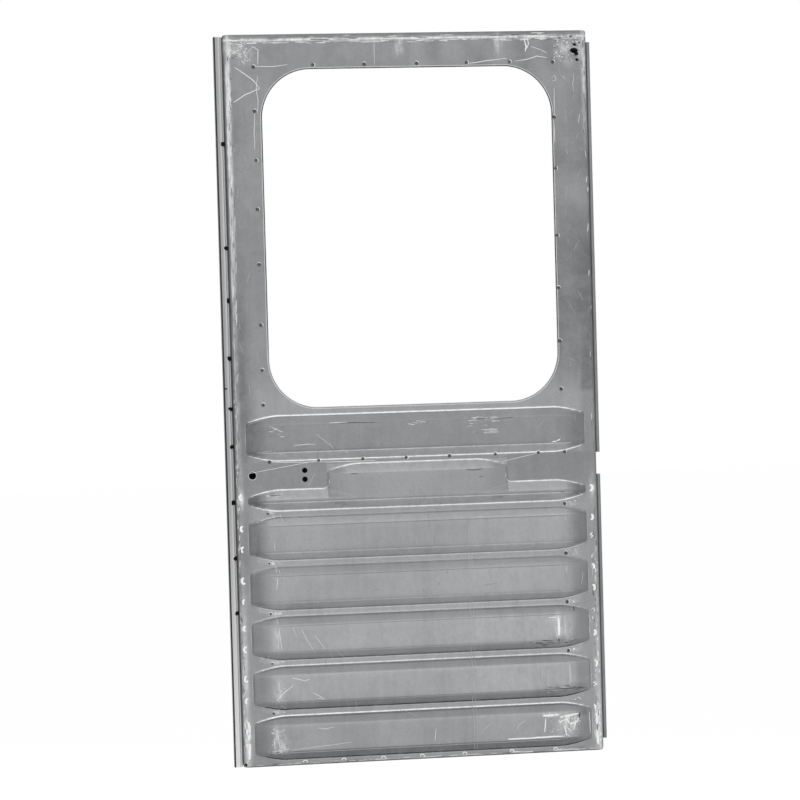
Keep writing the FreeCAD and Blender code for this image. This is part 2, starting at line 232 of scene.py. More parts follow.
ribs = {
    "bottom": 10.5, "base": 73.0, "pitch": 82.2, "slope": 14.5, "depth": 12.0, "margin": 22.0, "runout": 50.0,
    "endHeight": 3.3, "endSlope": 1.3, "padLength": 132.0, "lowBase": 33.5, "round": 2.2, "crease": 1.2,
    "inside": 0.4, "sag": 0.3,
}
window = {"side": 61.5, "top": 58.0, "sill": 589.0, "radius": 80.0}
fold = {"radius": 4.0, "depth": 14.0}
holes = [(28.5, 479.8, 6.0), (114.8, 471.2, 4.5), (114.8, 485.8, 4.5)]

ribFeet = [ribs["bottom"] + ribs["pitch"] * row for row in range(7)]
ribRows = [(foot, foot + ribs["base"]) for foot in ribFeet]
lowRow = (ribRows[5][0], ribRows[5][0] + ribs["lowBase"])
ribForms = [(ribs["margin"], low, high) for low, high in ribRows[:5] + ribRows[6:] + [lowRow]]
ribForms.append((ribs["margin"] + ribs["padLength"],) + ribRows[5])
flankSlope = ribs["depth"] / ribs["slope"]


def crownHeight(margin, u):  # a rib along its length: level, then falling away to a low step at both ends
    inward = min(u, door["width"] - u) - margin
    if inward < 0:
        return ribs["endHeight"] + ribs["endSlope"] * inward
    rise = 1 - max(0.0, 1 - inward / ribs["runout"]) ** 1.6
    return ribs["endHeight"] + (ribs["depth"] - ribs["inside"] - ribs["endHeight"]) * rise


def formHeight(form, u, v):  # one rib, before it meets the flat sheet: its crown, less the fall of the flanks
    margin, low, high = form
    flat = (high - low) / 2 - ribs["slope"]
    fall = softMax(0, flankSlope * (abs(v - (low + high) / 2) - flat), ribs["round"])
    return crownHeight(margin, u) - fall


def nearForms(v):
    return [form for form in ribForms if form[1] - 8 < v < form[2] + 8]


def pressing(u, v):  # how far the sheet stands out
    height = -50.0
    for form in nearForms(v):
        other = formHeight(form, u, v)
        height = softMax(height, other, 0.3 + 2.2 * max(0.0, 1 - max(height, other) / 6))
    if height < -4:
        return 0.0
    height = softMax(height, 0.0, ribs["crease"])
    dent = 0.5 + 0.5 * noise.noise(Vector((u / 130, v / 45, 3.1)))
    return height - min(1.0, height / 6) * ribs["sag"] * dent


def spread(start, stop, step):
    count = max(1, round((stop - start) / step))
    return [start + (stop - start) * index / count for index in range(count + 1)]


def thin(lines):
    kept = []
    for line in sorted(lines):
        if not kept or line - kept[-1] > 0.6:
            kept.append(line)
    return kept


half = spread(4, 16, 2) + spread(16, 26, 1.2) + spread(26, 74, 2.4) + spread(74, 148, 8)
half += spread(148, 158, 1.4) + spread(158, 208, 2.6) + spread(208, 302, 12)
uLines = thin(half + [door["width"] - u for u in half] + [383.5, 385.0, 386.5])
vLines = spread(4, 8, 2) + spread(583, 1142, 8) + spread(1142, 1184, 6) + spread(1184, 1196, 1.5)
edgeSteps = [-3.6, -2.4, -1.2, 0, 1.2, 2.4, 5.5, 9, 12, 13.3, 14.5, 15.7, 17.2, 25]
for low, high in ribRows + [lowRow]:
    steps = [step for step in edgeSteps if step < (high - low) / 2]
    vLines += [low + step for step in steps] + [high - step for step in steps] + [(low + high) / 2]
vLines = thin(vLines)


def insideWindow(u, v, inset):
    x = abs(u - door["width"] / 2) - (door["width"] / 2 - window["side"] - inset)
    middle = (window["sill"] + door["height"] - window["top"]) / 2
    y = abs(v - middle) - (door["height"] - window["top"] - middle - inset)
    radius = window["radius"] - inset
    return math.hypot(max(x + radius, 0), max(y + radius, 0)) < radius


def foldDirection(u, v):  # outward in the plane of the skin, with a turn at the corners
    turning = 2.2
    x = -1 if u < door["width"] / 2 else 1
    z = -1 if v < door["height"] / 2 else 1
    toSide = max(0, min(u, door["width"] - u) - fold["radius"])
    toEnd = max(0, min(v, door["height"] - v) - fold["radius"])
    turn = math.pi / 4 * max(0, 1 - max(toSide, toEnd) / turning)
    if toSide <= toEnd:
        return Vector((x * math.cos(turn), z * math.sin(turn)))
    return Vector((x * math.sin(turn), z * math.cos(turn)))


def buildSkin():
    bm = bmesh.new()
    bmesh.ops.create_grid(bm, x_segments=len(uLines) - 1, y_segments=len(vLines) - 1, size=0.5)
    flat = bm.verts.layers.float_vector.new("flat")
    for vert in bm.verts:
        u = uLines[round((vert.co.x + 0.5) * (len(uLines) - 1))]
        v = vLines[round((vert.co.y + 0.5) * (len(vLines) - 1))]
        vert[flat] = (u, v, 0)
        vert.co = place(u, -pressing(u, v), v)
    gone = [face for face in bm.faces if all(insideWindow(vert[flat].x, vert[flat].y, 6) for vert in face.verts)]
    bmesh.ops.delete(bm, geom=gone, context="FACES")

    def onRim(vert):
        u, v = vert[flat].x, vert[flat].y
        return min(u, door["width"] - u, v, door["height"] - v) < fold["radius"] + 0.01
    edges = [edge for edge in bm.edges if edge.is_boundary and all(onRim(vert) for vert in edge.verts)]
    bend = [math.radians(angle) for angle in (18, 36, 54, 72, 90)]
    steps = [(fold["radius"] * math.sin(a), fold["radius"] * (1 - math.cos(a))) for a in bend]
    steps += [(fold["radius"], depth) for depth in (6, 9, 12, fold["depth"])]
    for outward, back in steps:
        made = bmesh.ops.extrude_edge_only(bm, edges=edges)["geom"]
        for vert in made:
            if isinstance(vert, bmesh.types.BMVert):
                u, v = vert[flat].x, vert[flat].y
                way = foldDirection(u, v)
                vert.co = place(u + way.x * outward, back, v + way.y * outward)
        edges = [item for item in made if isinstance(item, bmesh.types.BMEdge) and item.is_boundary]
    bmesh.ops.recalc_face_normals(bm, faces=bm.faces)
    bm.faces.ensure_lookup_table()
    if [face for face in bm.faces if abs(face.normal.y) > 0.9][0].normal.y > 0:
        bmesh.ops.reverse_faces(bm, faces=bm.faces)
    return bm


def buildCutter():  # window with rounded corners, and the lock holes
    bm = bmesh.new()
    low = place(window["side"], -30, window["sill"])
    high = place(door["width"] - window["side"], 30, door["height"] - window["top"])
    for vert in bmesh.ops.create_cube(bm, size=1)["verts"]:
        vert.co = Vector([low[axis] if vert.co[axis] < 0 else high[axis] for axis in range(3)])
    corners = [edge for edge in bm.edges if abs(edge.verts[0].co.y - edge.verts[1].co.y) > 0.01]
    bmesh.ops.bevel(bm, geom=corners, offset=window["radius"] / 1000, segments=24, profile=0.5,
                    affect="EDGES", material=-1)
    for u, v, radius in holes:
        turn = Matrix.Translation(place(u, 0, v)) @ Matrix.Rotation(math.pi / 2, 4, "X")
        bmesh.ops.create_cone(bm, cap_ends=True, segments=32, radius1=radius / 1000, radius2=radius / 1000,
                              depth=0.03, matrix=turn)
    bmesh.ops.recalc_face_normals(bm, faces=bm.faces)
    return bm


def bake(piece):  # modifiers into the mesh
    bpy.context.view_layer.update()
    done = bpy.data.meshes.new_from_object(piece.evaluated_get(bpy.context.evaluated_depsgraph_get()))
    piece.modifiers.clear()
    piece.data = done


skin = addObject("outerSkin", buildSkin(), skinSteel)
cutter = addObject("skinCutter", buildCutter(), None)
wall = skin.modifiers.new("sheet", "SOLIDIFY")
wall.thickness, wall.offset = door["sheet"] / 1000, -1
cut = skin.modifiers.new("openings", "BOOLEAN")
cut.operation, cut.object, cut.solver = "DIFFERENCE", cutter, "EXACT"
bake(skin)
bpy.data.objects.remove(cutter)
skinCorners = [vert.co for vert in skin.data.vertices]
sheet = BVHTree.FromPolygons(skinCorners, [face.vertices for face in skin.data.polygons])


def frontFace(u, v):  # depth of the finished skin's front surface
    spot = sheet.ray_cast(place(u, -60, v), Vector((0, 1, 0)))[0]
    return spot.y * 1000 - door["front"] if spot else 0.0


# How bright (above nothing: painted highlight) or dark (below: painted shade) each part of a rib is painted, for
# each rib from the bottom one up.
ribPaintedLight = {
    "topLine": [0.72, 0.5, 0.2, 0.06, 0.0, 0.62, 0.8], "topShade": [0.42, 0.36, 0.3, 0.12, 0.12, 0.05, 0.1],
    "lowLine": [0.1, 0.14, 0.24, 0.28, 0.3, 0.8, 0.8], "lowShade": [0.85, 0.8, 0.55, 0.28, 0.12, 0.1, 0.0],
    "topFlank": [-0.1, -0.06, 0.02, 0.05, 0.19, 0.22, -0.1],
    "lowFlank": [-0.55, -0.14, 0.02, 0.13, 0.19, 0.17, 0.22],
    "flat": [0.05, 0.13, 0.13, 0.07, 0.02, -0.06, -0.27], "gap": [0.0, 0.08, 0.13, 0.14, 0.08, 0.0, -0.2],
    "endShade": [0.4, 0.4, 0.4, 0.3, 0.3, 0.3, 0.2], "endLine": [0.35, 0.35, 0.35, 0.25, 0.2, 0.1, 0.1],
    "lowLedge": [0.15, 0.1, 0.2, 0.4, 0.5, 0.7, 0.75], "topLedge": [0.0, 0.0, 0.05, 0.2, 0.25, 0.25, 0.25],
    "leftEnd": [-0.38, -0.14, -0.22, -0.4, -0.54, -0.75, -0.6],
    "rightEnd": [-0.2, -0.11, -0.27, -0.27, -0.4, -0.55, -0.44],
}
bands = {  # how the wear of the folds, the darkness of the borders and the painted shade beside the left fold change up the door: height, strength
    "leftFold": [(0, 0.6), (220, 0.42), (320, 0.05), (495, 0.15), (700, 0.15), (900, 0.5), (1000, 0.8),
                 (1110, 1.0), (1185, 0.6)],
    "rightFold": [(0, 1.0), (120, 0.6), (330, 0.1), (400, 0.0), (1000, 0.0), (1100, 0.6), (1190, 0.9)],
    "rightBorder": [(600, 0.12), (850, 0.14), (960, -0.06), (1200, -0.08)],
    "leftBorder": [(470, 0.05), (540, 0.28), (660, 0.32), (760, 0.24), (860, 0.12), (1200, 0.08)],
    "leftShoulder": [(480, 0.0), (540, 0.45), (760, 0.45), (860, 0.15), (900, 0.0)],
}
scuffs = [  # bright scuffed patches: centre u, v, half width, half height, strength
    (531, 214, 4, 17, 1.0), (524, 226, 12, 3, 0.8), (545, 206, 8, 14, 0.4), (512, 65, 14, 3, 1.0),
    (545, 60, 14, 5, 1.0), (542, 46, 16, 12, 0.6), (55, 46, 4, 18, 0.6), (62, 32, 10, 10, 0.6),
    (60, 25, 14, 3, 0.8), (60, 215, 5, 20, 0.4), (62, 125, 6, 16, 0.5), (566, 1168, 13, 14, 0.4),
    (575, 1150, 9, 10, 0.25), (593, 1170, 5, 18, 0.5), (16, 1180, 20, 12, 0.45), (290, 1178, 6, 14, 0.5),
    (454, 1180, 4, 16, 0.55), (36, 1165, 14, 12, 0.25), (594, 38, 5, 32, 1.0), (9, 45, 5, 28, 1.0),
    (58, 420, 7, 3, 0.7), (58, 335, 7, 3, 0.7), (58, 252, 7, 3, 0.7), (58, 172, 7, 3, 0.7), (58, 90, 7, 3, 0.7),
    (560, 414, 8, 3, 0.5), (560, 331, 8, 3, 0.5), (560, 251, 8, 3, 0.5), (560, 170, 8, 3, 0.5),
    (9, 130, 4, 60, 0.4), (595, 120, 4, 60, 0.35), (9, 442, 4, 14, 0.9), (595, 440, 4, 16, 0.6),
]
darkPatches = [  # dark: centre u, v, half width, half height, strength
    (582, 1170, 8, 8, 0.45), (530, 192, 14, 5, 0.6), (552, 195, 12, 4, 0.55), (540, 109, 34, 2.5, 0.6),
    (571, 67, 8, 8, 0.5), (500, 1120, 60, 40, 0.1), (575, 900, 24, 90, 0.14), (580, 760, 20, 60, 0.16),
    (572, 650, 24, 30, 0.1), (40, 800, 24, 120, 0.08), (240, 1172, 70, 12, 0.14), (565, 4, 8, 4, 0.5),
    (17, 590, 17, 110, 0.6), (10, 385, 14, 110, 0.36), (602, 700, 14, 240, 0.34), (5, 6, 4, 4, 0.6),
    (110, 480, 60, 16, 0.06),
]
areas = {  # where the tones change: heights, distances across the door or in from its sides, and fades
    "ribEnd": 32, "ribEndFade": 20, "ribsTop": 586, "side": 30, "sideFade": 10, "sideLow": 420, "sideRise": 60,
    "upper": 600, "upperFade": 60, "padLow": 446, "padHigh": 502, "padInner": 150, "leftDark": 15, "leftReach": 13,
    "joint": 385, "jointLine": 386.2, "jointTop": 400, "topBand": 1190.6, "topShade": 1193.5, "lowBand": 2.0,
    "leftBand": 7.2, "rightBand": 598.5, "shoulder": 1.8, "waist": 495,
}


def follow(points, x):  # straight lines between the points
    for (x0, y0), (x1, y1) in zip(points, points[1:]):
        if x <= x1:
            return y0 + (y1 - y0) * max(0.0, x - x0) / (x1 - x0)
    return points[-1][1]


def spots(table, u, v):
    near = [row for row in table if abs(u - row[0]) < 2 * row[2] and abs(v - row[1]) < 2 * row[3]]
    return max([row[4] * bell(u, row[0], row[2]) * bell(v, row[1], row[3]) for row in near], default=0.0)


def ribNumber(low):  # counted from the bottom one up
    return min(6, max(0, int((low - ribs["bottom"] + 1) // ribs["pitch"])))


def ribTones(u, v, level):  # painted light and shade of a rib: its tone, a painted highlight line and a painted shade line where it meets the sheet
    tone, line, shade = 0.0, 0.0, 0.0
    for form in nearForms(v):
        margin, low, high = form
        row = ribNumber(low)
        raw = formHeight(form, u, v)
        out = -raw / flankSlope
        inward = min(u, door["width"] - u) - margin
        along = max(0.0, min(1.0, (inward - 4) / 14))
        middle = (low + high) / 2
        side = "low" if v < middle else "top"
        lineOut, shadeOut = (1.4, -0.8) if side == "low" else (0.6, -2.6)
        if level < 2:
            line = max(line, 0.3 * along * ribPaintedLight[side + "Line"][row] * bell(out, lineOut, 1.8))
        if raw > -1:
            shade = max(shade, 0.5 * along * ribPaintedLight[side + "Shade"][row] * bell(out, shadeOut, 2.2))
        if raw > 0.5 and level > 0.5:
            onFlat = abs(v - middle) < (high - low) / 2 - ribs["slope"]
            tone = ribPaintedLight["flat" if onFlat else side + "Flank"][row]
            if inward < areas["ribEnd"]:
                end = ribPaintedLight["leftEnd" if u < door["width"] / 2 else "rightEnd"][row] if margin < 100 else -0.1
                tone += (end - tone) * min(1.0, (areas["ribEnd"] - inward) / areas["ribEndFade"])
        elif side == "low" and 0 < out < 9 and inward > 10 and level < 0.5:
            tone = ribPaintedLight["gap"][row]
    return tone, line, shade


def paintSkin(mesh):
    rubAndHighlight, scuff, dirtAndShade = (mesh.attributes.new(name, "FLOAT", "POINT") for name in ("rubAndHighlight", "scuff", "dirtAndShade"))
    for index, vert in enumerate(mesh.vertices):
        u = vert.co.x * 1000 - door["left"]
        w = vert.co.y * 1000 - door["front"]
        v = vert.co.z * 1000 - door["bottom"]
        fromSide = min(u, door["width"] - u)
        fromRim = min(fromSide, v, door["height"] - v)
        patch = 0.5 + 0.5 * noise.noise(Vector((u / 50, v / 50, 9.0)))
        tone, line, shade = ribTones(u, v, -w) if v < areas["ribsTop"] and w < 3 else (0.0, 0.0, 0.0)
        border = min((areas["side"] - fromSide) / areas["sideFade"], (v - areas["sideLow"]) / areas["sideRise"])
        border = max(0.0, min(1.0, border))
        cloudy = noise.noise(Vector((u / 34, v / 60, 4.0))) * (0.12 if u < door["width"] / 2 else 0.3)
        leftDark = bell(u, areas["leftDark"], areas["leftReach"]) * follow(bands["leftBorder"], v)
        if v > areas["upper"]:
            extra = follow(bands["rightBorder"], v) if u > door["width"] / 2 else leftDark
            share = max(border, min(1.0, (v - areas["upper"]) / areas["upperFade"]))
            tone = -share * (0.3 + 0.12 * u / door["width"] + cloudy + extra)
        elif areas["padLow"] < v < areas["padHigh"] and abs(u - door["width"] / 2) > areas["padInner"] and -w < 0.5:
            tone = -0.3
        elif border > 0 and -w < 0.5:
            tone = -0.25 * border - (leftDark if u < 60 else 0.0)
        elif v < areas["jointTop"] and u > areas["joint"] and w < -8:  # paler right of the press's witness line
            tone += 0.06 + (0.08 if u < areas["jointLine"] else 0.0)
        worn = 0.95 * bell(v, areas["topBand"], 1.9) * (0.5 + patch * 0.5) if w < 2 else 0.0
        length = 0.5 + 0.5 * noise.noise(Vector((2.0, v / 34, 1.0)))
        left = bell(u, areas["leftBand"] + 1.5 * length, 2.7 if v > areas["waist"] else 4.4)
        left = left * (0.35 + 0.9 * length) * follow(bands["leftFold"], v)
        right = follow(bands["rightFold"], v) * bell(u, areas["rightBand"], 3.0) * (0.3 + 0.6 * patch)
        worn = max(worn, left, right, 0.5 * bell(v, areas["lowBand"], 1.6) * patch)
        # painted shade beside the left fold and along the top edge
        shoulder = bell(u, areas["shoulder"], 2.2) * follow(bands["leftShoulder"], v)
        shade = max(shade, shoulder * (0.6 + 0.6 * patch))
        if v > areas["topShade"]:
            shade = max(shade, 0.35 + 0.2 * patch)
        # painted shade on the folded sides
        if w > 1.2 and fromRim < 2:
            shade = max(shade, 0.85 if u < 2 else 0.6)
        shown = 0.0 if vert.normal.y > 0.2 and fromRim > 2 else 1.0  # the wear, the dirt and the painted light and shade are on the outside only
        # bright mark: painted highlights of the ribs' creases and flanks, and the rubbed wear of the folds
        rubAndHighlight.data[index].value = shown * max(tone, line, worn * 0.6, 0.0)
        scuff.data[index].value = shown * max(worn, spots(scuffs, u, v))
        # dark mark: painted shade of the ribs and folds, the darker borders and upper sheet, and the dark patches
        dirtAndShade.data[index].value = shown * max(-tone, shade, spots(darkPatches, u, v), 0.0)


paintSkin(skin.data)
shadeSmooth(skin.data, 35)
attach(skin, "root")
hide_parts("outer_skin")
print("skin done:", len(skin.data.polygons), "faces")

# scratches: thin bright ridges of three sides, drawn out along their paths

scratches = {"width": 1.5, "height": 0.12, "step": 5.0, "wander": 0.25}
paths = [  # width factor, then the points
    (1.1, (19, 1147), (48, 1126), (59, 1112)), (1.1, (59, 1112), (35, 1102), (12, 1088)),
    (0.9, (42, 1172), (50, 1180), (58, 1174), (57, 1150)),
    (0.8, (56, 1132), (53, 1110), (56, 1090), (54, 1072)), (0.9, (52, 1148), (80, 1147), (105, 1150)),
    (0.8, (50, 1075), (48, 1045), (48, 1012)), (0.6, (249, 1197), (249, 1146)),
    (1.0, (402, 1147), (440, 1152), (470, 1155)), (1.0, (484, 1150), (505, 1153), (520, 1158), (538, 1155)),
    (1.6, (500, 1186), (503, 1174), (501, 1166)), (1.3, (505, 1187), (507, 1178), (503, 1170)),
    (0.8, (510, 1174), (528, 1168), (538, 1163)), (0.9, (40, 1178), (34, 1170), (42, 1160)),
    (0.9, (20, 1186), (30, 1183), (38, 1188)), (1.0, (8, 1192), (22, 1190), (36, 1193)),
    (0.9, (12, 1176), (20, 1170), (26, 1176)), (0.8, (30, 1158), (36, 1152)),
    (0.7, (544, 1122), (550, 1126), (552, 1118), (546, 1116)), (0.6, (582, 1128), (580, 1110), (581, 1098)),
    (0.7, (590, 1062), (588, 1046)), (0.8, (548, 1105), (548, 1060)), (0.8, (547, 1045), (547, 1015)),
    (0.6, (562, 1125), (568, 1119)), (0.8, (59, 560), (72, 553), (79, 551)),
    (0.7, (60, 552), (70, 556), (78, 550)), (0.8, (97, 528), (116, 529), (132, 529)),
    (0.5, (135, 545), (155, 528), (166, 517)), (1.0, (177, 519), (186, 513)),
    (2.6, (526, 519), (534, 519.6), (541, 523)), (0.6, (36, 517), (60, 520), (84, 511)),
    (0.8, (58, 501), (100, 499.5), (140, 499)), (0.9, (140, 498.5), (190, 498), (232, 498)),
    (0.9, (156, 563), (186, 563)), (0.6, (300, 562), (318, 558)), (0.7, (24, 484), (75, 492), (137, 501)),
    (0.7, (442, 488), (470, 494), (507, 501)), (0.8, (30, 402), (50, 409), (72, 413)),
    (0.7, (44, 420), (50, 427), (58, 420)), (0.7, (60, 415), (64, 404)), (0.7, (72, 415), (76, 402)),
    (0.8, (62, 332), (64, 310), (62, 292)), (0.6, (66, 326), (70, 314)), (0.7, (60, 250), (64, 232), (62, 190)),
    (0.8, (64, 228), (67, 200), (69, 188)), (0.7, (100, 228), (110, 206), (118, 193)),
    (0.7, (122, 216), (130, 204), (138, 192)), (0.6, (86, 230), (92, 214)),
    (1.0, (57, 110), (68, 122), (84, 134)), (0.7, (60, 142), (63, 124), (64, 108)),
    (0.9, (82, 147), (104, 141), (112, 143)), (0.9, (116, 121), (128, 114), (140, 106)),
    (0.6, (122, 112), (134, 109)), (0.8, (50, 64), (58, 58), (66, 60)), (0.9, (56, 62), (58, 44), (60, 26)),
    (0.9, (50, 48), (52, 30)), (0.7, (66, 56), (72, 46)), (0.9, (47, 26), (60, 28), (76, 30)),
    (0.6, (80, 28), (130, 32), (180, 36)), (0.7, (124, 62), (136, 60), (150, 63)), (0.8, (319, 52), (317, 31)),
    (0.5, (455, 44), (460, 52), (470, 58)), (0.5, (400, 47), (410, 54)), (4.0, (500, 64), (527, 65)),
    (1.6, (504, 60), (502, 36)), (3.2, (528, 60), (560, 65)),
    (2.2, (527, 52), (540, 57), (545, 48), (558, 51), (560, 58)), (1.8, (536, 46), (538, 32), (544, 28)),
    (1.8, (556, 54), (552, 38)), (1.6, (530, 50), (526, 55)), (3.6, (590, 78), (595, 60)),
    (3.6, (10, 76), (12, 58)), (2.8, (12, 56), (10, 46)), (3.6, (11, 40), (10, 14)),
    (3.2, (594, 62), (593, 44)), (3.6, (593, 36), (595, 10)), (1.0, (580, 66), (581, 30)),
    (1.4, (540, 44), (546, 36)), (2.6, (440, 28), (480, 27.5), (536, 28.5)),
    (3.6, (530, 226), (531, 212), (530, 197)), (1.2, (513, 227), (524, 227.4), (533, 227)),
    (0.6, (580, 237), (588, 214)), (0.7, (583, 212), (586, 190)), (0.7, (547, 150), (547, 112)),
    (0.5, (500, 142), (500, 124)), (0.5, (510, 140), (510, 112)), (0.6, (541, 234), (541, 196)),
    (0.6, (549, 145), (549, 118)), (0.5, (575, 300), (572, 280)), (0.6, (548, 404), (546, 388)),
    (0.6, (548, 320), (546, 300)), (0.5, (60, 372), (61, 352)),
]
hooksLeft = [445, 393, 360, 309, 274, 230, 195, 147, 110]  # small bright hook marks down both edges
hooksRight = [440, 392, 360, 309, 274, 235, 197, 147, 112]


def zigzagMark(u, v):
    points = [rng.uniform(1.9, 2.5)]
    for side, up in ((2, 5), (-3, 2), (2.5, -0.5), (-2.5, -4)):
        points.append((u + side + rng.uniform(-1, 1), v + up + rng.uniform(-1, 1)))
    return tuple(points)


def hookMark(u, v, lean):
    size = 3.7 + rng.uniform(-0.5, 0.6)
    start = rng.uniform(40, 80)
    sweep = rng.uniform(200, 260)
    points = []
    for step in range(7):
        angle = math.radians(start + sweep * step / 6)
        points.append((u + lean * size * 0.7 * math.cos(angle), v + size * 1.15 * math.sin(angle)))
    return (rng.uniform(2.8, 3.6),) + tuple(points)


marks = [hookMark(9, v + rng.uniform(-1, 1), 1) for v in hooksLeft]
for index, v in enumerate(hooksRight):
    marks.append(zigzagMark(592.5, v) if index % 3 == 2 else hookMark(593, v + rng.uniform(-1, 1), -1))
for _ in range(44):  # broken rubs at the bottom ends of both edges
    u = rng.choice([7, 594, 596]) + rng.uniform(-3, 3)
    v = rng.uniform(10, 76)
    marks.append((rng.uniform(1.2, 2.6), (u, v), (u + rng.uniform(-2, 2), v + rng.uniform(3, 9))))
for v in (420, 335, 252, 172, 90):  # sparkle beside the welds at the ends of the strips between the ribs
    for _ in range(7):
        u, height = rng.choice([rng.uniform(54, 68), rng.uniform(552, 566)]), v + rng.uniform(-3, 3)
        marks.append((rng.uniform(0.9, 1.8), (u, height), (u + rng.uniform(1.5, 4), height + rng.uniform(-2, 2))))
for _ in range(22):  # short scribbles in the upper corners
    left = rng.random() < 0.55
    u = rng.uniform(5, 40) if left else rng.uniform(550, 592)
    v = rng.uniform(1158, 1194)
    width = rng.uniform(0.6, 1.2)
    bend = (u + rng.uniform(-5, 5), v + rng.uniform(-5, 5))
    marks.append((width, (u, v), bend, (u + rng.uniform(-6, 6), v + rng.uniform(-7, 4))))
ridgeFoot = 0.03  # how far the foot of a ridge lies in the sheet


def resample(points, step):
    result = []
    for start, stop in zip(points, points[1:]):
        count = max(1, round(math.dist(start, stop) / step))
        result += [tuple(a + (b - a) * index / count for a, b in zip(start, stop)) for index in range(count)]
    return result + [points[-1]]


def buildRidges(strokes, height):  # each stroke: width, path, count of tapering steps, attribute and its strength
    bm = bmesh.new()
    scrap = bpy.data.meshes.new("ridge")
    for width, points, taper, attribute, strength in strokes:
        one = bmesh.new()
        corner = one.verts.layers.int.new("corner")
        tone = one.verts.layers.float.new(attribute)
        last = len(points) - 1

        def section(index):
            before, after = points[max(0, index - 1)], points[min(last, index + 1)]
            along = Vector((after[0] - before[0], after[1] - before[1])).normalized()
            if taper:
                share = min(1.0, min(index, last - index) / taper)
            else:
                share = math.sin(math.pi * (0.1 + 0.8 * index / last))
            half = width / 2 * (0.35 + 0.65 * share)
            u, v = points[index]
            side, up = along.y * half, along.x * half
            corners = [(u - side, v + up, ridgeFoot), (u + side, v - up, ridgeFoot), (u, v, -height)]
            return [place(a, frontFace(a, b) + sunk, b) for a, b, sunk in corners]
        face = one.faces.new([one.verts.new(spot) for spot in section(0)])
        for index, vert in enumerate(face.verts):
            vert[corner] = index
        for index in range(1, last + 1):
            made = bmesh.ops.extrude_face_region(one, geom=[face])["geom"]
            corners = section(index)
            for vert in [item for item in made if isinstance(item, bmesh.types.BMVert)]:
                vert.co = corners[vert[corner]]
            face = [item for item in made if isinstance(item, bmesh.types.BMFace)][0]
        for vert in one.verts:
            vert[tone] = strength * rng.uniform(0.85, 1.0)
        bmesh.ops.recalc_face_normals(one, faces=one.faces)
        one.to_mesh(scrap)
        one.free()
        bm.from_mesh(scrap)
    bpy.data.meshes.remove(scrap)
    return bm


def scratchStrokes():
    strokes = []
    wander = scratches["wander"]
    for factor, *points in paths + marks:
        line = resample(points, scratches["step"])
        line = [(u + rng.uniform(-1, 1) * wander, v + rng.uniform(-1, 1) * wander) for u, v in line]
        strokes.append((scratches["width"] * factor, line, 0, "rubAndHighlight", min(1.0, 0.3 + 0.4 * factor)))
    return strokes


scratchPiece = addObject("scratchRidges", buildRidges(scratchStrokes(), scratches["height"]), brightSteel)
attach(scratchPiece, "root")
print("scratches done:", len(scratchPiece.data.polygons), "faces")

# painted highlight and painted shade lines along the creases, the witness lines of the press, and faint random
# scratches

lines = {"bright": 2.1, "dark": 2.5, "shade": 2.8, "edge": 2.0, "height": 0.2, "step": 3.2, "faint": 120}


def footPath(form, side, shift, start, stop):  # along the foot of a rib, moved out by the shift
    margin, low, high = form
    path = []
    for u in spread(start, stop, lines["step"]):
        reach = (high - low) / 2 - ribs["slope"] + crownHeight(margin, u) / flankSlope + shift
        path.append((u, (low + high) / 2 + (reach if side == "top" else -reach)))
    return path


def creaseLines():  # painted highlights and painted shade along the creases: attribute, strength, width and path of each line
    made = []
    for form in ribForms:
        margin, low, high = form
        row = ribNumber(low)
        start, stop = margin + 2, door["width"] - margin - 2
        isLow, isShort = high - low < 50, margin > 100
        if not isShort:  # along both edges of the flat
            span = spread(margin + 22, door["width"] - margin - 22, 5)
            lowEdge, topEdge = low + ribs["slope"] - 1.8, high - ribs["slope"] - 1.5
            for v, attribute, name in ((lowEdge, "rubAndHighlight", "lowLedge"), (topEdge, "dirtAndShade", "topLedge")):
                if ribPaintedLight[name][row] > 0 and not (isLow and name == "topLedge"):
                    made.append((attribute, ribPaintedLight[name][row], lines["edge"], [(u, v) for u in span]))
        if not isLow:  # across both ends
            span = spread(max(low, lowRow[1] if isShort else 0) + 15, high - 13, 4)
            for inset, attribute, name in ((margin - 0.8, "dirtAndShade", "endShade"), (margin - 3.4, "rubAndHighlight", "endLine")):
                strength = ribPaintedLight[name][row] * (0.5 if isShort else 1.0)
                for u in (inset, door["width"] - inset):
                    made.append((attribute, strength, lines["edge"], [(u, v) for v in span]))
        for side in ("low", "top"):
            if isShort and side == "low":
                continue
            bright, dark = ribPaintedLight[side + "Line"][row], ribPaintedLight[side + "Shade"][row]
            outside, inside = (0.6, -2.4) if side == "top" else (1.5, -0.6)
            spans = [(start, stop)]
            if isLow and side == "top":
                spans = [(start, 147), (door["width"] - 147, stop)]
            for first, last in spans:
                if bright > 0.04:
                    path = footPath(form, side, outside, first, last)
                    if isLow and side == "top":  # turns up into the end of the short rib
                        turned = [(150, 456.6), (153, 459.6), (154.6, 464), (155, 469)]
                        mirrored = [(door["width"] - u, v) for u, v in turned[::-1]]
                        path = path + turned if first < 100 else mirrored + path
                    made.append(("rubAndHighlight", bright * 1.6, lines["bright"], path))
                if dark > 0.08 and not isLow:
                    width = lines["shade" if side == "top" else "dark"]
                    made.append(("dirtAndShade", dark * 1.3, width, footPath(form, side, inside, first, last)))
    return made


def arcPath(u, v, across, up, angles):
    turns = [math.radians(angle) for angle in angles]
    return [(u + across * math.cos(turn), v + up * math.sin(turn)) for turn in turns]


def windowPath(out):  # round the window opening, a little outside its edge
    radius = window["radius"] + out
    low, high = window["sill"] - out, door["height"] - window["top"] + out
    left, right = window["side"] - out, door["width"] - window["side"] + out
    corners = [
        (right - radius, high - radius, 0), (left + radius, high - radius, 90),
        (left + radius, low + radius, 180), (right - radius, low + radius, 270),
    ]
    path = []
    for u, v, start in corners:
        path += arcPath(u, v, radius, radius, range(start, start + 91, 6))
    return resample(path + [path[0]], 12)


